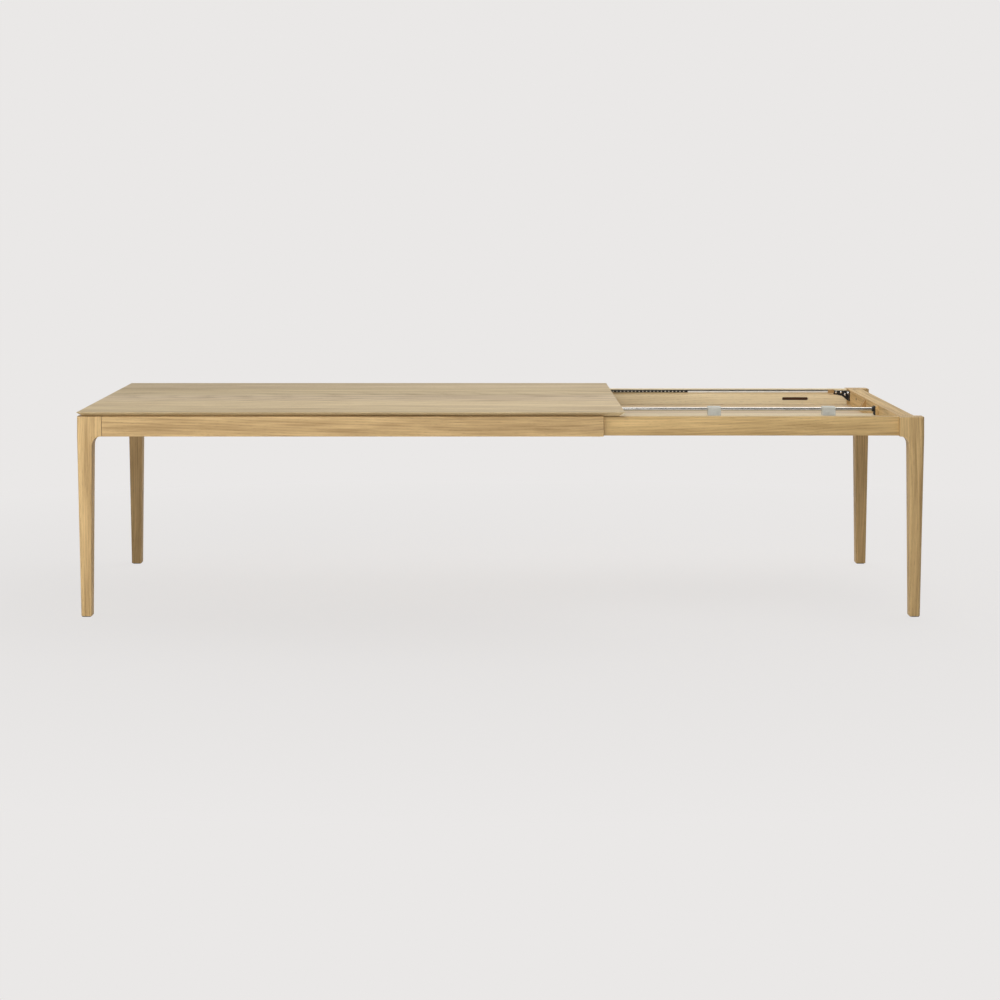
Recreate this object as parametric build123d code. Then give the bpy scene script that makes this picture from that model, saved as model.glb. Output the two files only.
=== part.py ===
from build123d import *

import os

# Extendable oak dining table, drawn with its frame pulled fully out.
# Millimetres. +X points to the end that pulls out, +Y to the back, +Z up.
# The origin is on the floor, under the middle of the extended table.

os.makedirs("parts", exist_ok=True)

# ---- driving dimensions -------------------------------------------------
HEIGHT = 750.0            # floor to table surface
TOP_LENGTH = 2000.0
TOP_WIDTH = 1000.0
TOP_THICK = 16.5
TOP_EDGE = 1.5            # square edge above the bevel under the rim
BEVEL_WIDTH = 22.0
FRAME_HALF_LENGTH = 1548.0  # middle to the outer face of a leg, pulled out
LEG_FACE_Y = 496.5        # middle to the front or back face of a leg
TRAVEL = 1080.0           # the frame moves this far in to close
TOP_OVERHANG_X = -1.5     # rim of the top relative to the left leg face

LEG_TOP_SIZE = 57.0
LEG_FOOT_SIZE = 40.0
LEG_OUTER_LEAN = 13.5     # the two outer faces lean in by this much
LEG_ROUND_TOP = 17.0      # rounded outer corner
LEG_ROUND_FOOT = 14.0
LEG_SOFT_EDGE = 3.0
GLIDE_THICK = 3.0
SHOULDER = 91.0           # leg face to the end of its shoulder
SHOULDER_ROUND = 32.0

RAIL_BOTTOM = 661.0
RAIL_THICK = 22.0
RAIL_TOP = 731.0          # a leaf laid on the rails comes flush with the top
MOVING_RAIL_BOTTOM = 661.4
MOVING_LEG_TOP = 731.0
APRON_INSET = 1.0         # apron face behind the leg face
RAIL_GAP = 1.0            # running gap between apron and moving rail
TAIL_X = -366.0           # inner end of the moving frame
END_RAIL_OUTER = 1520.0
END_RAIL_INNER = 1480.0
END_CLEAT_INNER = 1462.0
EDGE = 1.5                # softened wood edges

LEAF_WIDTH = 500.0
LEAF_THICK = 19.0
LEAF_FRONT_Y = -96.0
LEAF_RIGHT_X = 360.0
LEAF_LOWER_Z = 694.0
LEAF_STACK_GAP = 0.5

# ---- telescopic slide, back one; the front one is its mirror image ------
GUIDE_INNER_Y = 412.5     # guide beam under the top
GUIDE_OUTER_Y = 434.5
GUIDE_BOTTOM = 693.5
GUIDE_X = (-1448.0, 290.0)
CHANNEL_Z = (717.0, 727.0)
CHANNEL_WALL = 2.0
CHANNEL_FLANGE = 1.5
CHANNEL_DEPTH = 8.5
CHANNEL_END_X = 1376.5
STRIP_THICK = 2.0         # bright running strip in the mouth of the channel
STRIP_TOP = 723.5
MIDDLE_X = (-360.0, 790.0)
MIDDLE_Y = (439.8, 441.4)
MIDDLE_Z = (717.2, 726.8)
MIDDLE_HOOK_Z = (724.0, 725.0)
MIDDLE_HOOK_Y = 446.5
CAGE_X = (440.0, 787.0)
CAGE_Y = (436.8, 439.3)
CAGE_Z = (718.4, 725.6)
ROLLER_SIZE = 5.0
ROLLER_LENGTH = 3.2
ROLLER_PITCH = 15.5
BAR_Y = 435.8             # face of the fixed bar, towards the rollers
BAR_Z = (718.0, 726.0)
STOP_X = (1376.5, 1401.0)
KEEPER_THICK = 1.2

# ---- front guide tube ---------------------------------------------------
TUBE_Y = -110.0
TUBE_Z = 715.0
TUBE_SIZE = 13.0
TUBE_BORE = 10.0
TUBE_X = (-321.0, 1446.5)
PACKER_X = 1449.5         # where the packing piece behind the outer bracket begins
BLOCK_PITCH = 441.5
BLOCK_RIGHT_X = 1269.0
BLOCK_COUNT = 4
BLOCK_LENGTH = 49.0
BLOCK_Y = (-134.0, -97.5)
BLOCK_Z = (692.0, 726.0)
RUNNER_Y = (-134.0, -60.0)
TRAY_Z = (662.0, 666.0)
CROSS_RAIL_TOP = 684.0
CROSS_RAIL_WIDTH = 45.0

TOP_UNDER = HEIGHT - TOP_THICK
TOP_LEFT = -FRAME_HALF_LENGTH - TOP_OVERHANG_X
TOP_RIGHT = TOP_LEFT + TOP_LENGTH
SHOULDER_X = FRAME_HALF_LENGTH - SHOULDER
SHOULDER_Y = LEG_FACE_Y - SHOULDER
APRON_OUTER = LEG_FACE_Y - APRON_INSET
APRON_INNER = APRON_OUTER - RAIL_THICK
RAIL_OUTER = APRON_INNER - RAIL_GAP
RAIL_INNER = RAIL_OUTER - RAIL_THICK
APRON_END = SHOULDER_X - TRAVEL - 1.0


def block(x, y, z, soft=0.0, axes="X"):
    """A box between pairs of limits, with edges along the named axes softened."""
    solid = Box(x[1] - x[0], y[1] - y[0], z[1] - z[0], align=(Align.MIN,) * 3)
    if soft:
        named = {"X": Axis.X, "Y": Axis.Y, "Z": Axis.Z}
        edges = [edge for name in axes for edge in solid.edges().filter_by(named[name])]
        solid = fillet(edges, soft)
    return Pos(x[0], y[0], z[0]) * solid


def front_of(shape):
    """Mirror image on the front side of the table."""
    return mirror(shape, Plane.XZ)


def left_of(shape):
    """Mirror image at the fixed left end of the table."""
    return mirror(shape, Plane.YZ)


def write(name, *solids):
    """One STEP file per named sub-part."""
    flat = [part for shape in solids for part in shape.solids()]
    whole = flat[0] if len(flat) == 1 else Compound(children=flat)
    whole.label = name
    export_step(whole, f"parts/{name}.step")


# ---- fasteners ----------------------------------------------------------
def screw(point, direction, head=9.0, head_thick=2.5, shank=4.0, length=14.0):
    """A round-head screw whose head sits on a face; direction points into the wood."""
    seat = Plane(origin=point, z_dir=direction)
    dome = Cylinder(head / 2, head_thick, align=(Align.CENTER, Align.CENTER, Align.MAX))
    dome = fillet(dome.edges().sort_by(Axis.Z)[0], head_thick * 0.6)
    slot = Pos(0, 0, -head_thick) * Box(head * 0.5, 1.2, 1.6)
    stem = Cylinder(shank / 2, length, align=(Align.CENTER, Align.CENTER, Align.MIN))
    return seat * ((dome - slot) + stem)


def bore(point, direction, shank=4.0, length=14.0):
    """The hole that such a screw fills."""
    seat = Plane(origin=point, z_dir=direction)
    return seat * Cylinder(shank / 2, length, align=(Align.CENTER, Align.CENTER, Align.MIN))


# ---- legs ---------------------------------------------------------------
def leg_section(level, size, lean, corner):
    """Leg outline at one height, with its large rounding on the outer corner."""
    outer = (FRAME_HALF_LENGTH - lean, LEG_FACE_Y - lean)
    square = Pos(outer[0] - size / 2, outer[1] - size / 2) * Rectangle(size, size)
    far = square.vertices().sort_by(lambda v: v.X + v.Y)[-1]
    rounded = fillet(far, corner)
    inner = (outer[0] - size + 0.01, outer[1] - size + 0.01)
    rest = [v for v in rounded.vertices() if v.X < inner[0] or v.Y < inner[1]]
    return Pos(0, 0, level) * fillet(rest, LEG_SOFT_EDGE)


def back_right_leg(top, shoulder_top):
    """One tapered leg with the two shoulders that the rails butt against."""
    foot = leg_section(GLIDE_THICK, LEG_FOOT_SIZE, LEG_OUTER_LEAN, LEG_ROUND_FOOT)
    neck = leg_section(RAIL_BOTTOM, LEG_TOP_SIZE, 0, LEG_ROUND_TOP)
    leg = loft([foot, neck]) + extrude(neck, top - RAIL_BOTTOM)

    post_in = FRAME_HALF_LENGTH - LEG_TOP_SIZE
    post_side = LEG_FACE_Y - LEG_TOP_SIZE
    along_x = block(
        (SHOULDER_X, FRAME_HALF_LENGTH - LEG_ROUND_TOP),
        (RAIL_INNER, LEG_FACE_Y),
        (RAIL_BOTTOM, shoulder_top),
        EDGE,
        "Z",
    )
    along_y = block(
        (END_RAIL_INNER, END_RAIL_OUTER),
        (SHOULDER_Y, LEG_FACE_Y - LEG_TOP_SIZE / 2),
        (RAIL_BOTTOM, top),
        EDGE,
        "Z",
    )
    cove = Cylinder(SHOULDER_ROUND, 200, rotation=(90, 0, 0))
    cove_x = block(
        (post_in - SHOULDER_ROUND, post_in + LEG_SOFT_EDGE),
        (post_side + EDGE, LEG_FACE_Y - EDGE),
        (RAIL_BOTTOM - SHOULDER_ROUND, RAIL_BOTTOM),
    ) - Pos(post_in - SHOULDER_ROUND, LEG_FACE_Y, RAIL_BOTTOM - SHOULDER_ROUND) * cove
    cove = Cylinder(SHOULDER_ROUND, 200, rotation=(0, 90, 0))
    cove_y = block(
        (post_in + EDGE, END_RAIL_OUTER - EDGE),
        (post_side - SHOULDER_ROUND, post_side + LEG_SOFT_EDGE),
        (RAIL_BOTTOM - SHOULDER_ROUND, RAIL_BOTTOM),
    ) - Pos(FRAME_HALF_LENGTH, post_side - SHOULDER_ROUND, RAIL_BOTTOM - SHOULDER_ROUND) * cove
    return leg + along_x + along_y + cove_x + cove_y


def back_right_glide():
    """Thin plastic glide under a leg."""
    middle_x = FRAME_HALF_LENGTH - LEG_OUTER_LEAN - LEG_FOOT_SIZE / 2
    middle_y = LEG_FACE_Y - LEG_OUTER_LEAN - LEG_FOOT_SIZE / 2
    outline = RectangleRounded(LEG_FOOT_SIZE - 6, LEG_FOOT_SIZE - 6, 8)
    return Pos(middle_x, middle_y, 0) * extrude(outline, GLIDE_THICK)


# ---- table top and leaves ----------------------------------------------
def bevelled_board(x, y, under, surface, bevel_sides):
    """A board whose rim is thin at the edge and bevelled underneath."""
    edge_z = surface - TOP_EDGE
    board = block(x, y, (under, surface))
    middle = ((x[0] + x[1]) / 2, (y[0] + y[1]) / 2)
    half = ((x[1] - x[0]) / 2, (y[1] - y[0]) / 2)
    drop = edge_z - under
    for side in bevel_sides:
        corner = [(0, 0), (0, drop), (-BEVEL_WIDTH, 0)]
        if side in ("left", "right"):
            sign = 1 if side == "right" else -1
            points = [(middle[0] + sign * (half[0] + px), under + pz) for px, pz in corner]
            face = make_face(Plane.XZ * Polyline(*points, close=True))
            cut = Pos(0, y[1] + 1, 0) * extrude(face, half[1] * 2 + 2, dir=(0, -1, 0))
        else:
            sign = 1 if side == "back" else -1
            points = [(middle[1] + sign * (half[1] + py), under + pz) for py, pz in corner]
            face = make_face(Plane.YZ * Polyline(*points, close=True))
            cut = Pos(x[0] - 1, 0, 0) * extrude(face, half[0] * 2 + 2, dir=(1, 0, 0))
        board -= cut
    return board


def main_top():
    """The fixed top; its rim is bevelled on all four sides."""
    return bevelled_board(
        (TOP_LEFT, TOP_RIGHT),
        (-TOP_WIDTH / 2, TOP_WIDTH / 2),
        TOP_UNDER,
        HEIGHT,
        ("left", "right", "front", "back"),
    )


def leaf(under):
    """A loose leaf, stored lengthwise; its ends become the front and back rim."""
    return bevelled_board(
        (LEAF_RIGHT_X - TOP_WIDTH, LEAF_RIGHT_X),
        (LEAF_FRONT_Y, LEAF_FRONT_Y + LEAF_WIDTH),
        under,
        under + LEAF_THICK,
        ("left", "right"),
    )


# ---- frame timbers ------------------------------------------------------
def back_apron():
    """Fixed outer side rail, from the left leg to the end of the fixed frame."""
    return block(
        (-SHOULDER_X, APRON_END), (APRON_INNER, APRON_OUTER), (RAIL_BOTTOM, TOP_UNDER), EDGE, "XYZ"
    )


def back_side_rail():
    """Moving side rail, between the shoulder of its leg and its inner end."""
    return block(
        (TAIL_X, SHOULDER_X), (RAIL_INNER, RAIL_OUTER), (MOVING_RAIL_BOTTOM, RAIL_TOP), EDGE
    )


def catch_slot():
    """Blind slot in the inner face of the back side rail, for a leaf catch."""
    depth = (RAIL_INNER - 1, RAIL_INNER + 14)
    return block((1187.0, 1294.5), depth, (684.0, 696.0), 5.0, "Y")


def end_rail():
    """End rail between the shoulders of the two legs."""
    return block(
        (END_RAIL_INNER, END_RAIL_OUTER),
        (-SHOULDER_Y, SHOULDER_Y),
        (RAIL_BOTTOM, RAIL_TOP),
        EDGE,
        "Y",
    )


def end_cleat():
    """Batten that stiffens the end rail, from side to side."""
    return block(
        (END_CLEAT_INNER, END_RAIL_INNER),
        (-RAIL_INNER, RAIL_INNER),
        (MOVING_RAIL_BOTTOM, RAIL_TOP),
        EDGE,
        "Y",
    )


def back_guide_beam():
    """Beam under the top that carries the fixed bar of the slide."""
    return block(
        GUIDE_X,
        (GUIDE_INNER_Y, GUIDE_OUTER_Y),
        (GUIDE_BOTTOM, TOP_UNDER),
        EDGE,
    )


def leaf_ledge():
    """Strip under the back guide beam, on which the stored leaves rest."""
    return block(
        GUIDE_X,
        (GUIDE_INNER_Y - 22, GUIDE_OUTER_Y),
        (CROSS_RAIL_TOP + 1, GUIDE_BOTTOM),
    )


def runner_beam():
    """Beam of the moving frame that carries the guide tube and the leaves."""
    return block(
        (TAIL_X + CROSS_RAIL_WIDTH, END_CLEAT_INNER), RUNNER_Y, (TRAY_Z[1], BLOCK_Z[0]), EDGE
    )


def tail_cross_rail():
    """Cross rail that ties the inner ends of the moving side rails."""
    return block(
        (TAIL_X, TAIL_X + CROSS_RAIL_WIDTH),
        (-RAIL_INNER, RAIL_INNER),
        (TRAY_Z[0], CROSS_RAIL_TOP),
        EDGE,
        "Y",
    )


def tray_panel():
    """Thin panel that closes the moving frame from below, behind the runner."""
    return block(
        (TAIL_X + CROSS_RAIL_WIDTH, END_CLEAT_INNER), (RUNNER_Y[0], RAIL_INNER), TRAY_Z
    )


def glue_wedge():
    """Triangular glue block on the inner face of the end batten."""
    corner = (END_CLEAT_INNER, 697.0)
    points = [corner, (corner[0] - 18, corner[1]), (corner[0], corner[1] + 32.5)]
    face = make_face(Plane.XZ * Polyline(*points, close=True))
    return Pos(0, 126, 0) * extrude(face, 22, dir=(0, -1, 0))


# ---- telescopic slide ---------------------------------------------------
def back_channel():
    """Moving steel rail on the inner face of the side rail; its roof overhangs the slide."""
    inner = RAIL_INNER - CHANNEL_DEPTH
    length = (TAIL_X, CHANNEL_END_X)
    web = block(length, (RAIL_INNER - CHANNEL_WALL, RAIL_INNER), CHANNEL_Z)
    roof = block(length, (inner, RAIL_INNER), (CHANNEL_Z[1] - CHANNEL_FLANGE, CHANNEL_Z[1]))
    return web + roof


def back_running_strip():
    """Bright steel angle that closes the lower half of the moving rail."""
    inner = RAIL_INNER - CHANNEL_DEPTH
    length = (TAIL_X, CHANNEL_END_X)
    low = CHANNEL_Z[0]
    upright = block(length, (inner, inner + STRIP_THICK), (low, STRIP_TOP))
    foot = block(length, (inner, RAIL_INNER - CHANNEL_WALL), (low, low + CHANNEL_FLANGE))
    return upright + foot


def roller_places():
    """Middles of the rollers, in one row along the cage."""
    start = CAGE_X[0] + ROLLER_PITCH / 2
    count = int((CAGE_X[1] - start) / ROLLER_PITCH) + 1
    middle_y = (CAGE_Y[0] + CAGE_Y[1]) / 2
    middle_z = (MIDDLE_Z[0] + MIDDLE_Z[1]) / 2
    return [(start + step * ROLLER_PITCH, middle_y, middle_z) for step in range(count)]


def back_roller_cage():
    """Strip that keeps the rollers apart, with one hole for each roller."""
    cage = block(CAGE_X, CAGE_Y, CAGE_Z)
    hole = Cylinder(ROLLER_SIZE / 2 + 0.2, 10, rotation=(90, 0, 0))
    return cage - [Pos(*place) * hole for place in roller_places()]


def back_rollers():
    """The loose steel rollers in the cage."""
    roller = Cylinder(ROLLER_SIZE / 2, ROLLER_LENGTH, rotation=(90, 0, 0))
    return [Pos(*place) * roller for place in roller_places()]


def back_middle_profile():
    """Middle member of the slide, hooked into the channel; it moves half as far."""
    web = block(MIDDLE_X, MIDDLE_Y, MIDDLE_Z)
    return web + block(MIDDLE_X, (MIDDLE_Y[0], MIDDLE_HOOK_Y), MIDDLE_HOOK_Z)


def back_fixed_bar():
    """Fixed member of the slide, on the guide beam."""
    return block(GUIDE_X, (GUIDE_OUTER_Y, BAR_Y), BAR_Z)


def back_stop_block():
    """Hardwood stop at the end of the channel."""
    return block(STOP_X, (RAIL_INNER - 14.5, RAIL_INNER), (715.0, 728.5), 1.0)


def back_keeper_plate():
    """Steel plate under the end of the apron that the moving rail runs over."""
    return block(
        (APRON_END - 42, APRON_END - 2),
        (RAIL_INNER + 2, APRON_OUTER - 2),
        (RAIL_BOTTOM - KEEPER_THICK, RAIL_BOTTOM),
    )


# ---- corner brackets ----------------------------------------------------
BRACKET_THICK = 3.0
BRACKET_Z = (684.0, 724.0)
BRACKET_ARM_Y = 410.0
SIDE_BOLTS = ((1411.0, 717.0), (1432.0, 717.0), (1449.0, 708.0))
END_BOLTS = ((437.0, 716.0), (421.0, 716.0))


def back_right_bracket():
    """Black steel corner bracket: a tapered arm on the rail, a square arm on the batten."""
    inside_x = END_CLEAT_INNER
    arm = [
        (STOP_X[1], BRACKET_Z[1]),
        (STOP_X[1], BRACKET_Z[1] - 14),
        (STOP_X[1] + 36, BRACKET_Z[1] - 22),
        (inside_x - BRACKET_THICK, BRACKET_Z[0]),
        (inside_x, BRACKET_Z[0]),
        (inside_x, BRACKET_Z[1]),
    ]
    face = make_face(Plane.XZ * Polyline(*arm, close=True))
    side = Pos(0, RAIL_INNER, 0) * extrude(face, BRACKET_THICK, dir=(0, -1, 0))
    end = block(
        (inside_x - BRACKET_THICK, inside_x), (BRACKET_ARM_Y, RAIL_INNER), BRACKET_Z
    )
    return (side + end) - back_right_bolt_bores()


def bolt_seats():
    """Where the bolts of the back right bracket sit, and the way they point."""
    side = [((x, RAIL_INNER - BRACKET_THICK, z), (0, 1, 0)) for x, z in SIDE_BOLTS]
    end = [((END_CLEAT_INNER - BRACKET_THICK, y, z), (1, 0, 0)) for y, z in END_BOLTS]
    return side + end


def back_right_bolt_bores():
    """Holes for those bolts."""
    return [bore(point, way, 5.0, 16.0) for point, way in bolt_seats()]


def back_right_bolts():
    """Bolts of the back right bracket."""
    return [screw(point, way, 10.0, 4.0, 5.0, 16.0) for point, way in bolt_seats()]


# ---- guide tube ---------------------------------------------------------
def guide_tube():
    """Steel tube along the moving frame, in front of the leaves."""
    length = TUBE_X[1] - TUBE_X[0]
    tube = Cylinder(TUBE_SIZE / 2, length) - Cylinder(TUBE_BORE / 2, length + 2)
    return Pos(sum(TUBE_X) / 2, TUBE_Y, TUBE_Z) * Rot(0, 90, 0) * tube


def tube_blocks():
    """Plastic blocks that hold the tube on the runner."""
    blocks = []
    for step in range(BLOCK_COUNT):
        middle = BLOCK_RIGHT_X - step * BLOCK_PITCH
        half = BLOCK_LENGTH / 2
        length = (middle - half, middle + half)
        body = block(length, BLOCK_Y, BLOCK_Z, 3.0)
        hole = Pos(middle, TUBE_Y, TUBE_Z) * Rot(0, 90, 0)
        body -= hole * Cylinder(TUBE_SIZE / 2, BLOCK_LENGTH + 2)
        for side in BLOCK_Y:
            body -= block(length, (side - 1.2, side + 1.2), (TUBE_Z - 0.8, TUBE_Z + 0.8))
        for rib in (-half / 2, 0, half / 2):
            slot = (middle + rib - 4, middle + rib + 4)
            body -= block(slot, (BLOCK_Y[0] - 1, BLOCK_Y[0] + 3), (BLOCK_Z[0] + 4, TUBE_Z - 9))
        blocks.append(body)
    return blocks


def tube_bracket(wall_x, bottom, way):
    """Flanged bracket at one end of the tube; its collar points along way."""
    plate = block((-1.5, 1.5), (TUBE_Y - 14, TUBE_Y + 12), (bottom, 727.0))
    collar = Pos(way * 5.5, TUBE_Y, TUBE_Z) * Rot(0, 90, 0)
    collar *= Cylinder(10, 8) - Cylinder(TUBE_SIZE / 2, 10)
    return Pos(wall_x, 0, 0) * (plate + collar)


def tube_packer():
    """Pale packing piece between the outer bracket and the end batten."""
    return block(
        (PACKER_X, END_CLEAT_INNER), (TUBE_Y - 14, TUBE_Y + 12), (BLOCK_Z[0], 727.0), 1.0
    )


def tube_screw_seats():
    """Two screws hold the outer bracket and its packing piece on the end batten."""
    return [((PACKER_X - 3, TUBE_Y + side, 698.5), (1, 0, 0)) for side in (-8, 6)]


def slide_screw_seats():
    """Screws through the web of the back channel."""
    face = RAIL_INNER - CHANNEL_WALL
    return [((x, face, 721.5), (0, 1, 0)) for x in (-250.0, 150.0, 550.0, 950.0, 1340.0)]


def batten_screw_seats():
    """Screws through the end batten into the end rail."""
    return [((END_CLEAT_INNER, side, 707.0), (1, 0, 0)) for side in (-285.0, 285.0)]


def keeper_screw_seats():
    """Screws that hold the back keeper plate under the apron."""
    middle = APRON_END - 22
    return [((middle + side, 484.0, RAIL_BOTTOM), (0, 0, 1)) for side in (-13, 13)]


# ---- top fixings --------------------------------------------------------
ANGLE_SIZE = 20.0
ANGLE_THICK = 2.0
ANGLE_WIDTH = 24.0
ANGLE_PLACES = (-1300.0, -1020.0, -740.0)


def back_top_angles():
    """Small steel angles that hold the top to the guide beam."""
    angles = []
    for middle in ANGLE_PLACES:
        wide = (middle - ANGLE_WIDTH / 2, middle + ANGLE_WIDTH / 2)
        near = GUIDE_INNER_Y - ANGLE_SIZE
        low = TOP_UNDER - ANGLE_SIZE
        flat = block(wide, (near, GUIDE_INNER_Y), (TOP_UNDER - ANGLE_THICK, TOP_UNDER))
        upright = block(wide, (GUIDE_INNER_Y - ANGLE_THICK, GUIDE_INNER_Y), (low, TOP_UNDER))
        angles.append(flat + upright)
    return angles


def angle_screw_seats():
    """Per angle, one screw into the guide beam and one up into the top."""
    seats = []
    for middle in ANGLE_PLACES:
        level = TOP_UNDER - ANGLE_SIZE * 0.65
        seats.append(((middle, GUIDE_INNER_Y - ANGLE_THICK, level), (0, 1, 0)))
        depth = GUIDE_INNER_Y - ANGLE_SIZE * 0.65
        seats.append(((middle, depth, TOP_UNDER - ANGLE_THICK), (0, 0, 1)))
    return seats


# ---- assembly -----------------------------------------------------------
def both(shapes):
    """Back shapes together with their front mirror images."""
    return list(shapes) + [front_of(shape) for shape in shapes]


def drilled(shape, holes):
    """A shape with the given holes cut from it."""
    return shape - holes


angle_bores = [bore(point, way, 4.0, 12.0) for point, way in angle_screw_seats()]
angle_screws = [screw(point, way, 8.0, 2.5, 4.0, 12.0) for point, way in angle_screw_seats()]
slide_bores = [bore(point, way, 3.5, 10.0) for point, way in slide_screw_seats()]
slide_screws = [screw(point, way, 5.0, 1.2, 3.5, 10.0) for point, way in slide_screw_seats()]
keeper_bores = [bore(point, way) for point, way in keeper_screw_seats()]
keeper_sinks = [bore(point, (0, 0, -1), 9.0, 5.0) for point, _ in keeper_screw_seats()]
keeper_screws = [screw(point, way, 9.0, KEEPER_THICK) for point, way in keeper_screw_seats()]
tube_bores = [bore(point, way, 3.5, 26.0) for point, way in tube_screw_seats()]
tube_screws = [screw(point, way, 6.5, 2.0, 3.5, 26.0) for point, way in tube_screw_seats()]
batten_bores = [bore(point, way, 4.0, 30.0) for point, way in batten_screw_seats()]
batten_screws = [screw(point, way, 8.5, 1.6, 4.0, 30.0) for point, way in batten_screw_seats()]
bolt_bores = back_right_bolt_bores()


def write_pair(name, shape):
    """A back piece and its front mirror image, as two nodes."""
    write(f"{name}_rear", shape)
    write(f"{name}_front", front_of(shape))


def write_fixed_frame():
    """Everything that stays with the table top."""
    write("main_top", drilled(main_top(), both(angle_bores)))
    fixed_leg = left_of(back_right_leg(TOP_UNDER, TOP_UNDER))
    write("leg_rear_left", fixed_leg)
    write("leg_front_left", front_of(fixed_leg))
    glide = left_of(back_right_glide())
    write("foot_glides_left", glide, front_of(glide))
    write("end_rail_left", left_of(end_rail()))
    write("end_batten_left", left_of(end_cleat()))
    write_pair("side_apron", drilled(back_apron(), keeper_bores))
    write_pair("guide_beam", drilled(back_guide_beam(), angle_bores))
    write("leaf_ledge_rear", leaf_ledge())
    write_pair("slide_bar_fixed", back_fixed_bar())
    write_pair("keeper_plate", drilled(back_keeper_plate(), keeper_sinks))
    write("keeper_screws", *both(keeper_screws))
    write("top_angles", *both([drilled(a, angle_bores) for a in back_top_angles()]))
    write("top_angle_screws", *both(angle_screws))


def write_slide_middle():
    """The members between the fixed bar and the moving channel."""
    write_pair("slide_middle", back_middle_profile())
    write_pair("roller_cage", back_roller_cage())
    write("slide_rollers_rear", *back_rollers())
    write("slide_rollers_front", *[front_of(roller) for roller in back_rollers()])


def write_moving_frame():
    """Everything that pulls out with the right legs."""
    moving_leg = back_right_leg(MOVING_LEG_TOP, RAIL_TOP)
    write("leg_rear_right", moving_leg)
    write("leg_front_right", front_of(moving_leg))
    glide = back_right_glide()
    write("foot_glides_right", glide, front_of(glide))
    write("end_rail_right", drilled(end_rail(), both(bolt_bores) + batten_bores))
    write("end_batten_right", drilled(end_cleat(), both(bolt_bores) + tube_bores + batten_bores))
    write("batten_screws", *batten_screws)
    rail = drilled(back_side_rail(), bolt_bores + slide_bores)
    write("side_rail_front", front_of(rail))
    write("side_rail_rear", rail - catch_slot())
    write_pair("slide_channel", drilled(back_channel(), slide_bores))
    write_pair("running_strip", back_running_strip())
    write("slide_screws", *both(slide_screws))
    write_pair("stop_block", back_stop_block())
    write_pair("corner_bracket", back_right_bracket())
    write("bracket_bolts", *both(back_right_bolts()))
    write("runner_beam", runner_beam())
    write("tail_cross_rail", tail_cross_rail())
    write("tray_panel", tray_panel())
    write("guide_tube", guide_tube())
    write("tube_blocks", *tube_blocks())
    outer_bracket = tube_bracket(PACKER_X - 1.5, BLOCK_Z[0], -1)
    write("tube_bracket_outer", drilled(outer_bracket, tube_bores))
    write("tube_packer", drilled(tube_packer(), tube_bores))
    write("tube_bracket_inner", tube_bracket(TUBE_X[0] - 1.5, CROSS_RAIL_TOP, 1))
    write("tube_screws", *tube_screws)
    write("glue_wedge", glue_wedge())


def write_leaves():
    """The two loose leaves, stacked under the top."""
    write("leaf_lower", leaf(LEAF_LOWER_Z))
    write("leaf_upper", leaf(LEAF_LOWER_Z + LEAF_THICK + LEAF_STACK_GAP))


write_fixed_frame()
write_slide_middle()
write_moving_frame()
write_leaves()
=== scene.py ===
import math

import bpy
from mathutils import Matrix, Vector


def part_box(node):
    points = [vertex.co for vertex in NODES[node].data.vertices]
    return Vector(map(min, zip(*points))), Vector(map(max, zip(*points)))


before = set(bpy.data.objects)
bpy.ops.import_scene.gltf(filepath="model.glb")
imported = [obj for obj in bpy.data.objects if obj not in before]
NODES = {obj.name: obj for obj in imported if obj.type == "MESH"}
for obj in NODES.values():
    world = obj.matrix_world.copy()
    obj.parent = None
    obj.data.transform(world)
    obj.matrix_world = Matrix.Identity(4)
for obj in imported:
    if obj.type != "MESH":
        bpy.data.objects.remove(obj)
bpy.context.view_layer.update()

# ---- sizes worked out from the frame ------------------------------------
TABLE_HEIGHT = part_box("main_top")[1].z
RAIL_LOW, RAIL_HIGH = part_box("side_rail_rear")
APRON_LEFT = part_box("side_apron_front")[0].x

# Camera: level, at standing eye height, a little left of the middle.
CAMERA_PLACE = (-0.0565, -6.8768, 1.537)
CAMERA_LENS = 63.0
CAMERA_SHIFT = (0.01482, -0.30364)

# ---- colours, linear ----------------------------------------------------
PAPER = (0.823, 0.807, 0.799)  # pale studio grey
FLOOR_GLOW = 0.87  # share of the paper's light that is its own near the table
FLOOR_PAINT = (0.13, 0.1275, 0.126)
BOUNCE_PAINT = (0.86, 0.85, 0.84)
SKY_TINT = (1.0, 0.99, 0.97)
SKY_FRONT = 0.10
SKY_BACK = 0.60
# Each pair of oak tones is the light and the dark end of the grain.
OAK_TOP = ((0.69, 0.54, 0.325), (0.42, 0.295, 0.155))
OAK_WARM = ((0.69, 0.475, 0.215), (0.36, 0.223, 0.084))
OAK_PALE = ((0.93, 0.785, 0.57), (0.73, 0.585, 0.39))
# Pale oak lifted further for the rear rail: painted light standing for the top-front light that falls
# on its inner face.
OAK_PALE_PAINTED_LIGHT = ((0.99, 0.85, 0.63), (0.82, 0.67, 0.455))
# Lighter than the warm oak: painted light that offsets the shade the front rail sits in behind the
# apron, partly also evening out its random board tone.
OAK_RAIL_PAINTED_LIGHT = ((0.76, 0.525, 0.245), (0.41, 0.258, 0.10))
OILED = (0.70, 0.56, 0.34)  # the oiled tone as a share of the pale one with its painted light
OAK_PANEL = ((0.62, 0.49, 0.32), (0.52, 0.38, 0.23))
HARDWOOD = ((0.56, 0.35, 0.15), (0.40, 0.23, 0.09))
# Painted shade on the walls of the catch slot in the rear rail.
PAINTED_SLOT_SHADE = (0.11, 0.042, 0.018)
BLACK_PAINT = (0.004, 0.004, 0.004)
DARK_SCREW = (0.03, 0.028, 0.026)
PALE_PLASTIC = (0.52, 0.52, 0.47)
DARK_GLIDE = (0.06, 0.052, 0.045)

# Timbers of the inner frame are raw and paler than the oiled ones outside.
PALE_TIMBERS = ("guide_beam_rear", "leaf_ledge_rear", "runner_beam", "tail_cross_rail")

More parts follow.
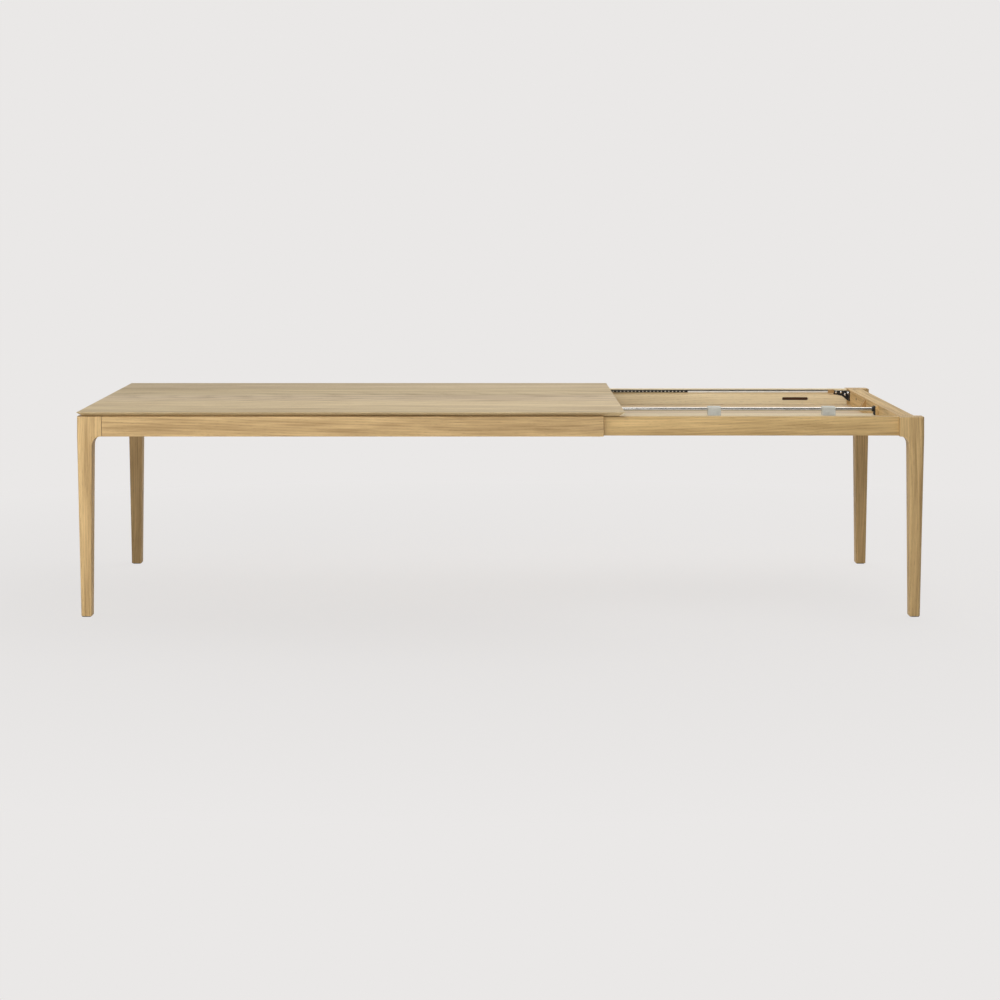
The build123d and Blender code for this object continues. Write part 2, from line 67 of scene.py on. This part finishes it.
# ---- studio, metres -----------------------------------------------------
FLOOR_SIZE = 4000.0
SHADOW_STRETCH = 1.6        # the shadowed patch of floor is this much longer than deep
SHADOW_REACH = (0.9, 2.6)   # half its depth, where it begins to fade and where it ends
CARD_SIZE = 40.0
CARD_LEVEL = -0.002

# ---- wood and metal texture, metres -------------------------------------
TOP_STAVE = 0.092      # width of the glued boards of the top and the leaves
PANEL_STAVE = 0.19
RING_STEP = 0.0085     # between growth rings
HEART_DEPTH = 0.035    # of the heart of the trunk below a board, and how far it leans
SOFT_EDGE = 0.0012     # radius of the worn edges of the wood
PORE_DEPTH = 0.00025
STEEL_LINES = 900.0    # drawing lines per metre across the steel
DRAWN_LENGTH = 6.0     # the same along it


# ---- small helpers for node trees ---------------------------------------
class Tree:
    """A material's node tree, with one short call per node."""

    def __init__(self, name):
        self.material = bpy.data.materials.new(name)
        self.material.use_nodes = True
        self.nodes = self.material.node_tree.nodes
        self.links = self.material.node_tree.links
        self.shader = self.nodes["Principled BSDF"]

    def put(self, socket, value):
        """Link a socket, or set it when value is a plain number or colour."""
        if isinstance(value, bpy.types.NodeSocket):
            self.links.new(value, socket)
        elif value is not None:
            socket.default_value = value

    def math(self, operation, a, b=None, clamp=False):
        node = self.nodes.new("ShaderNodeMath")
        node.operation = operation
        node.use_clamp = clamp
        self.put(node.inputs[0], a)
        self.put(node.inputs[1], b)
        return node.outputs[0]

    def split(self, vector):
        node = self.nodes.new("ShaderNodeSeparateXYZ")
        self.put(node.inputs[0], vector)
        return node.outputs

    def join(self, x, y, z):
        node = self.nodes.new("ShaderNodeCombineXYZ")
        for socket, value in zip(node.inputs, (x, y, z)):
            self.put(socket, value)
        return node.outputs[0]

    def noise(self, vector, scale=1.0, detail=3.0, roughness=0.55, distortion=0.0):
        node = self.nodes.new("ShaderNodeTexNoise")
        self.put(node.inputs["Vector"], vector)
        node.inputs["Scale"].default_value = scale
        node.inputs["Detail"].default_value = detail
        node.inputs["Roughness"].default_value = roughness
        node.inputs["Distortion"].default_value = distortion
        return node.outputs["Fac"]

    def chance(self, value):
        """Random number from 0 to 1 for each whole value."""
        node = self.nodes.new("ShaderNodeTexWhiteNoise")
        node.noise_dimensions = "1D"
        self.put(node.inputs["W"], value)
        return node.outputs["Value"]

    def scale_to(self, value, low, high, new_low=0.0, new_high=1.0):
        node = self.nodes.new("ShaderNodeMapRange")
        node.clamp = True
        self.put(node.inputs["Value"], value)
        node.inputs["From Min"].default_value = low
        node.inputs["From Max"].default_value = high
        node.inputs["To Min"].default_value = new_low
        node.inputs["To Max"].default_value = new_high
        return node.outputs[0]

    def mix(self, amount, a, b, blend="MIX"):
        node = self.nodes.new("ShaderNodeMix")
        node.data_type = "RGBA"
        node.blend_type = blend
        self.put(node.inputs[0], amount)
        for socket, value in ((node.inputs[6], a), (node.inputs[7], b)):
            self.put(socket, value if isinstance(value, bpy.types.NodeSocket) else (*value, 1.0))
        return node.outputs[2]

    def bump(self, height, strength, distance, edge=0.0):
        """Normal from a height; edge is the radius of softly rounded edges."""
        node = self.nodes.new("ShaderNodeBump")
        node.inputs["Strength"].default_value = strength
        node.inputs["Distance"].default_value = distance
        self.put(node.inputs["Height"], height)
        if edge:
            bevel = self.nodes.new("ShaderNodeBevel")
            bevel.samples = 4
            bevel.inputs["Radius"].default_value = edge
            self.links.new(bevel.outputs[0], node.inputs["Normal"])
        return node.outputs[0]

    def place(self):
        return self.nodes.new("ShaderNodeTexCoord").outputs["Object"]


# ---- oak ----------------------------------------------------------------
def board_luck(t, wide, seed, stave):
    """Two random numbers for each glued board, or for the whole timber."""
    if not stave:
        return t.chance(seed * 17.0), t.chance(seed * 31.0 + 5.5)
    board = t.math("FLOOR", t.math("DIVIDE", t.math("ADD", wide, 7.3 + seed * 0.01), stave))
    luck = t.chance(t.math("ADD", board, seed * 17.0))
    other = t.chance(t.math("ADD", board, seed * 31.0 + 5.5))
    return luck, other


def growth_rings(t, run, side, thin, luck, other):
    """Rings round a heart that lies below the board and leans along it; 1 in the dark wood."""
    heart = t.math("ADD", thin, t.math("ADD", t.math("MULTIPLY", other, 0.10), HEART_DEPTH))
    lean = t.math("MULTIPLY", t.math("SINE", t.math("MULTIPLY", run, 1.7)), HEART_DEPTH)
    heart = t.math("ADD", heart, lean)
    offset = t.math("ADD", side, t.math("MULTIPLY", t.math("SUBTRACT", luck, 0.5), 0.12))
    squares = t.math("ADD", t.math("MULTIPLY", offset, offset), t.math("MULTIPLY", heart, heart))
    ring = t.math("FRACT", t.math("DIVIDE", t.math("SQRT", squares), RING_STEP))
    early = t.scale_to(ring, 0.0, 0.45, 1.0, 0.0)
    late = t.scale_to(ring, 0.82, 1.0)
    return t.math("MAXIMUM", early, late)


def oak(name, grain, seed, tones, stave=0.0, contrast=1.4, gloss=0.42, joints=(),
        rear_rail=False):
    """Oiled oak. grain: axis of the fibres; stave: width of glued boards; joints: painted shade along
    the joints.

    rear_rail adds painted shade on the walls of the catch slot, and gives the outer face of that one
    timber the oiled tone without the painted light of its other faces.
    """
    t = Tree(name)
    axes = dict(zip("XYZ", t.split(t.place())))
    along = axes.pop(grain)
    wide, thin = (axes[k] for k in sorted(axes))
    luck, other = board_luck(t, wide, seed, stave)
    run = t.math("ADD", along, t.math("MULTIPLY", luck, 9.0))

    # slow drift of the fibres, in metres
    drift = t.noise(t.join(t.math("MULTIPLY", run, 1.1), t.math("MULTIPLY", wide, 6.0), thin), 1.0, 2.0)
    drift = t.math("MULTIPLY", t.math("SUBTRACT", drift, 0.5), 0.06)
    side = t.math("ADD", wide, drift)
    ring = growth_rings(t, run, side, thin, luck, other)

    # streaks: broad, medium and fine fibres, then open pores that gather in the rings
    broad = streaks(t, run, side, thin, 1.3, 34.0, 3.0)
    medium = streaks(t, run, side, thin, 4.5, 120.0, 3.0)
    fine = streaks(t, run, side, thin, 9.0, 520.0, 2.0)
    pores = t.scale_to(streaks(t, run, side, thin, 34.0, 1500.0, 1.0), 0.57, 0.66)
    pores = t.math("MULTIPLY", pores, t.math("ADD", t.math("MULTIPLY", ring, 0.75), 0.15))

    shade = t.math("MULTIPLY", t.scale_to(broad, 0.36, 0.66), 0.38)
    shade = t.math("ADD", shade, t.math("MULTIPLY", t.scale_to(medium, 0.34, 0.68), 0.36))
    shade = t.math("ADD", shade, t.math("MULTIPLY", ring, 0.12))
    shade = t.math("ADD", shade, t.math("MULTIPLY", t.scale_to(fine, 0.3, 0.7), 0.12))
    shade = t.math("MULTIPLY", t.math("SUBTRACT", shade, 0.5), contrast)
    shade = t.math("ADD", shade, 0.5, clamp=True)

    # every board has its own tone and warmth
    colour = t.mix(shade, tones[0], tones[1])
    tone = t.scale_to(luck, 0.0, 1.0, 0.88, 1.10)
    blue = t.math("MULTIPLY", tone, t.scale_to(other, 0.0, 1.0, 0.92, 1.06))
    colour = t.mix(1.0, colour, t.join(tone, tone, blue), "MULTIPLY")
    dark = tuple(c * 0.38 for c in tones[1])
    colour = t.mix(t.math("MULTIPLY", pores, 0.62), colour, dark)
    # painted shade in the groove where an apron meets a leg
    for seam in joints:
        away = t.math("ABSOLUTE", t.math("SUBTRACT", along, seam))
        colour = t.mix(t.scale_to(away, 0.0018, 0.0034, 0.72, 0.0), colour, dark)
    if rear_rail:
        # painted shade on the walls of the catch slot
        colour = t.mix(slot_shade_mask(t), colour, PAINTED_SLOT_SHADE)
        # the outer face takes back the oiled tone, without the painted light of the other faces
        colour = t.mix(outer_face(t), colour, t.mix(1.0, colour, OILED, "MULTIPLY"))
    t.put(t.shader.inputs["Base Color"], colour)

    rough = t.math("ADD", t.math("MULTIPLY", fine, 0.10), t.math("MULTIPLY", pores, 0.20))
    t.put(t.shader.inputs["Roughness"], t.math("ADD", rough, gloss))
    t.shader.inputs["Specular IOR Level"].default_value = 0.42
    height = t.math("SUBTRACT", t.math("MULTIPLY", fine, 0.35), pores)
    t.put(t.shader.inputs["Normal"], t.bump(height, 0.35, PORE_DEPTH, edge=SOFT_EDGE))
    return t.material


def outer_face(t):
    """1 on the outer face of the rear rail, which is oiled like the aprons and has none of the painted
    light of its other faces.
    """
    face = RAIL_HIGH.y
    return t.scale_to(t.split(t.place())[1], face - 0.002, face - 0.0005)


def within(t, value, low, high, margin, blur):
    """1 where value is between low and high, less a margin, with a blurred border."""
    above = t.scale_to(value, low + margin, low + margin + blur)
    below = t.scale_to(value, high - margin - blur, high - margin, 1.0, 0.0)
    return t.math("MULTIPLY", above, below)


def slot_shade_mask(t):
    """1 on the walls of the catch slot, which lie between the faces of the rear rail; it masks the
    painted shade there.
    """
    x, y, z = t.split(t.place())
    between_faces = within(t, y, RAIL_LOW.y, RAIL_HIGH.y, 0.001, 0.002)
    between_edges = within(t, z, RAIL_LOW.z, RAIL_HIGH.z, 0.006, 0.002)
    inboard = t.scale_to(x, RAIL_HIGH.x - 0.008, RAIL_HIGH.x - 0.006, 1.0, 0.0)
    return t.math("MULTIPLY", inboard, t.math("MULTIPLY", between_faces, between_edges))


def streaks(t, run, side, thin, slow, quick, detail):
    """Noise stretched along the fibres."""
    across = t.math("MULTIPLY", side, quick)
    through = t.math("MULTIPLY", thin, quick)
    return t.noise(t.join(t.math("MULTIPLY", run, slow), across, through), 1.0, detail)


# ---- metals and plastics ------------------------------------------------
def steel(name, colour, roughness, grain="X"):
    """Zinc plated or polished steel with fine drawing lines along one axis."""
    t = Tree(name)
    axes = t.split(t.place())
    scales = [STEEL_LINES] * 3
    scales["XYZ".index(grain)] = DRAWN_LENGTH
    lines = t.noise(t.join(*[t.math("MULTIPLY", a, s) for a, s in zip(axes, scales)]), 1.0, 2.0)
    cloud = t.noise(t.place(), 38.0, 4.0)
    colour_dark = tuple(c * 0.84 for c in colour)
    t.put(t.shader.inputs["Base Color"], t.mix(t.scale_to(cloud, 0.35, 0.7), colour, colour_dark))
    rough = t.math("ADD", t.math("MULTIPLY", lines, 0.16), t.math("MULTIPLY", cloud, 0.10))
    t.put(t.shader.inputs["Roughness"], t.math("ADD", rough, roughness - 0.1))
    t.shader.inputs["Metallic"].default_value = 1.0
    t.put(t.shader.inputs["Normal"], t.bump(lines, 0.05, 0.00008))
    return t.material


def coated(name, colour, roughness, pitch, depth):
    """Painted or moulded surface with a fine orange-peel or spark texture."""
    t = Tree(name)
    peel = t.noise(t.place(), pitch, 3.0)
    dirt = t.noise(t.place(), 22.0, 4.0)
    lighter = tuple(min(1.0, c * 1.12 + 0.003) for c in colour)
    t.put(t.shader.inputs["Base Color"], t.mix(t.scale_to(dirt, 0.35, 0.7), colour, lighter))
    t.put(t.shader.inputs["Roughness"], t.math("ADD", t.math("MULTIPLY", dirt, 0.14), roughness - 0.07))
    t.put(t.shader.inputs["Normal"], t.bump(peel, 0.3, depth))
    return t.material


def wear(node, material):
    """Give a CAD node one material."""
    mesh = NODES[node].data
    mesh.materials.clear()
    mesh.materials.append(material)


# ---- looks of every CAD node --------------------------------------------
def dress_boards():
    """Top and leaves, of glued boards, and the plain tray panel."""
    for seed, node in enumerate(("main_top", "leaf_lower", "leaf_upper"), start=1):
        wear(node, oak("oak_" + node, "X", seed, OAK_TOP, stave=TOP_STAVE, contrast=1.9))
    wear("tray_panel", oak("oak_tray_panel", "X", 4, OAK_PANEL, stave=PANEL_STAVE, contrast=0.6))


def timber_tones(node):
    """The two inner rails have lifted tones: painted light on the rear one's inner face, and against
    the shade of the front one's recess; the rest is either raw or oiled.
    """
    if node == "side_rail_rear":
        return OAK_PALE_PAINTED_LIGHT
    if node == "side_rail_front":
        return OAK_RAIL_PAINTED_LIGHT
    return OAK_PALE if node in PALE_TIMBERS else OAK_WARM


def dress_frame_timbers():
    """Each timber has its fibres along its own length."""
    lengthwise = (
        "side_apron_front", "side_apron_rear", "side_rail_front", "side_rail_rear",
        "guide_beam_front", "guide_beam_rear", "leaf_ledge_rear", "runner_beam",
    )
    for seed, node in enumerate(lengthwise, start=11):
        # painted shade along the joint at the left end of each apron
        joints = (APRON_LEFT,) if node.startswith("side_apron") else ()
        rear = node == "side_rail_rear"
        wear(node, oak("oak_" + node, "X", seed, timber_tones(node), joints=joints, rear_rail=rear))
    crosswise = (
        "end_rail_left", "end_rail_right", "end_batten_left", "end_batten_right", "tail_cross_rail",
        "tube_packer",
    )
    for seed, node in enumerate(crosswise, start=31):
        wear(node, oak("oak_" + node, "Y", seed, timber_tones(node)))
    legs = ("leg_front_left", "leg_front_right", "leg_rear_left", "leg_rear_right")
    for seed, node in enumerate(legs, start=41):
        wear(node, oak("oak_" + node, "Z", seed, OAK_WARM))
    tan = oak("tan_hardwood", "Z", 51, HARDWOOD, gloss=0.55)
    for node in ("stop_block_front", "stop_block_rear", "glue_wedge"):
        wear(node, tan)


def dress_fittings():
    """Metal parts, screws, plastic blocks and glides."""
    strip = steel("strip_steel", (0.93, 0.93, 0.91), 0.62)
    zinc = steel("zinc_steel", (0.80, 0.79, 0.76), 0.42)
    tube = steel("tube_steel", (0.50, 0.49, 0.46), 0.10)
    dull = steel("roller_steel", (0.66, 0.64, 0.56), 0.34)
    bright = steel("bright_steel", (0.82, 0.82, 0.81), 0.18, grain="Z")
    black = coated("black_steel", BLACK_PAINT, 0.62, 900.0, 0.00006)
    for side in ("front", "rear"):
        wear("slide_bar_fixed_" + side, zinc)
        wear("keeper_plate_" + side, zinc)
        wear("running_strip_" + side, strip)
        wear("slide_rollers_" + side, dull)
        # The channels are black like the middle members; their black also stands in for the shade in
        # their hollow, partly painted shade.
        wear("slide_channel_" + side, black)
        wear("slide_middle_" + side, black)
        wear("corner_bracket_" + side, black)
        wear("roller_cage_" + side, coated("cage_" + side, BLACK_PAINT, 0.6, 600.0, 0.00005))
    for side in ("inner", "outer"):
        wear("tube_bracket_" + side, black)
    wear("guide_tube", tube)
    wear("top_angles", zinc)
    wear("bracket_bolts", bright)
    for node in ("keeper_screws", "top_angle_screws", "slide_screws", "tube_screws", "batten_screws"):
        wear(node, coated("dark_" + node, DARK_SCREW, 0.38, 1500.0, 0.00003))
    wear("tube_blocks", coated("pale_plastic", PALE_PLASTIC, 0.42, 700.0, 0.00005))
    for side in ("left", "right"):
        wear("foot_glides_" + side, coated("glide_" + side, DARK_GLIDE, 0.5, 500.0, 0.00006))


# ---- studio -------------------------------------------------------------
def add_plane(name, size, level):
    """A flat square of studio paper, with its tree."""
    bpy.ops.mesh.primitive_plane_add(size=size, location=(0, 0, level))
    plane = bpy.context.object
    plane.name = name
    t = Tree(name)
    t.shader.inputs["Roughness"].default_value = 1.0
    t.shader.inputs["Specular IOR Level"].default_value = 0.0
    plane.data.materials.append(t.material)
    return plane, t


def add_floor():
    """Even grey paper for the camera. Only near the table does it take faint shadows."""
    floor, t = add_plane("studio_floor", FLOOR_SIZE, 0.0)
    t.shader.inputs["Base Color"].default_value = (*FLOOR_PAINT, 1.0)
    far = t.nodes.new("ShaderNodeEmission")
    far.inputs["Color"].default_value = (*PAPER, 1.0)
    near = t.nodes.new("ShaderNodeEmission")
    near.inputs["Color"].default_value = (*PAPER, 1.0)
    near.inputs["Strength"].default_value = FLOOR_GLOW
    lit = t.nodes.new("ShaderNodeAddShader")
    t.links.new(t.shader.outputs[0], lit.inputs[0])
    t.links.new(near.outputs[0], lit.inputs[1])
    x, y = t.split(t.place())[0:2]
    wide = t.math("DIVIDE", x, SHADOW_STRETCH)
    reach = t.math("SQRT", t.math("ADD", t.math("MULTIPLY", wide, wide), t.math("MULTIPLY", y, y)))
    blend = t.nodes.new("ShaderNodeMixShader")
    t.put(blend.inputs[0], t.scale_to(reach, SHADOW_REACH[0], SHADOW_REACH[1]))
    t.links.new(lit.outputs[0], blend.inputs[1])
    t.links.new(far.outputs[0], blend.inputs[2])
    t.links.new(blend.outputs[0], t.nodes["Material Output"].inputs[0])
    floor.visible_diffuse = False
    floor.visible_glossy = False
    floor.visible_shadow = False
    return floor


def add_bounce_card():
    """White card under the floor, unseen by the camera: it throws light up at the table."""
    card, t = add_plane("bounce_card", CARD_SIZE, CARD_LEVEL)
    t.shader.inputs["Base Color"].default_value = (*BOUNCE_PAINT, 1.0)
    card.visible_camera = False


def add_world():
    """The camera sees plain paper grey; the table is lit by a sky that is brighter behind it."""
    world = bpy.data.worlds.new("studio")
    bpy.context.scene.world = world
    world.use_nodes = True
    nodes, links = world.node_tree.nodes, world.node_tree.links
    place = nodes.new("ShaderNodeTexCoord")
    axes = nodes.new("ShaderNodeSeparateXYZ")
    links.new(place.outputs["Generated"], axes.inputs[0])
    rise = nodes.new("ShaderNodeMapRange")
    rise.inputs["From Min"].default_value = -0.1
    rise.inputs["From Max"].default_value = 0.9
    rise.inputs["To Min"].default_value = SKY_FRONT
    rise.inputs["To Max"].default_value = SKY_BACK
    links.new(axes.outputs[1], rise.inputs[0])
    sky = nodes["Background"]
    sky.inputs["Color"].default_value = (*SKY_TINT, 1.0)
    links.new(rise.outputs[0], sky.inputs["Strength"])
    paper = nodes.new("ShaderNodeBackground")
    paper.inputs["Color"].default_value = (*PAPER, 1.0)
    ray = nodes.new("ShaderNodeLightPath")
    choose = nodes.new("ShaderNodeMixShader")
    links.new(ray.outputs["Is Camera Ray"], choose.inputs[0])
    links.new(sky.outputs[0], choose.inputs[1])
    links.new(paper.outputs[0], choose.inputs[2])
    links.new(choose.outputs[0], nodes["World Output"].inputs[0])


def add_lamp(name, place, size, watts, skip=()):
    """One rectangular softbox aimed at the table; it doesn't light the objects in skip."""
    data = bpy.data.lights.new(name, "AREA")
    data.shape = "RECTANGLE"
    data.size, data.size_y = size
    data.energy = watts
    lamp = bpy.data.objects.new(name, data)
    bpy.context.collection.objects.link(lamp)
    lamp.location = place
    lamp.visible_camera = False
    aim = Vector((0, 0, TABLE_HEIGHT * 0.8)) - Vector(place)
    lamp.rotation_euler = aim.to_track_quat("-Z", "Y").to_euler()
    if skip:
        skipped = bpy.data.collections.new(name + "_skips")
        for thing in skip:
            skipped.objects.link(thing)
        for entry in skipped.collection_objects:
            entry.light_linking.link_state = "EXCLUDE"
        lamp.light_linking.receiver_collection = skipped


def add_lights(floor):
    """Softboxes round the table; the low and the left front one don't light the rear legs."""
    shaded = [floor, NODES["leg_rear_left"], NODES["leg_rear_right"]]
    add_lamp("key_softbox", (-1.0, -3.8, 4.0), (4.0, 1.8), 127, skip=[floor])
    add_lamp("low_softbox", (-0.4, -5.5, 1.3), (5.0, 1.0), 56, skip=shaded)
    add_lamp("left_softbox", (-4.6, -0.4, 2.4), (1.2, 2.4), 12)
    add_lamp("left_front_softbox", (-4.4, -2.6, 1.5), (0.7, 0.7), 44, skip=shaded)
    add_lamp("right_softbox", (4.6, -0.4, 2.4), (1.2, 2.4), 6)
    add_lamp("top_softbox", (1.5, 1.2, 4.0), (4.0, 2.0), 78)


def add_camera():
    """Level camera whose shift brings the table to the middle of the picture."""
    data = bpy.data.cameras.new("photo_view")
    data.lens = CAMERA_LENS
    data.sensor_width = 36.0
    data.shift_x, data.shift_y = CAMERA_SHIFT
    data.clip_end = 5000.0
    camera = bpy.data.objects.new("photo_view", data)
    bpy.context.collection.objects.link(camera)
    camera.location = CAMERA_PLACE
    camera.rotation_euler = (math.radians(90), 0, 0)
    bpy.context.scene.camera = camera


add_camera()
dress_boards()
dress_frame_timbers()
dress_fittings()
add_world()
paper_floor = add_floor()
add_bounce_card()
add_lights(paper_floor)
bpy.context.scene.view_settings.view_transform = "Standard"
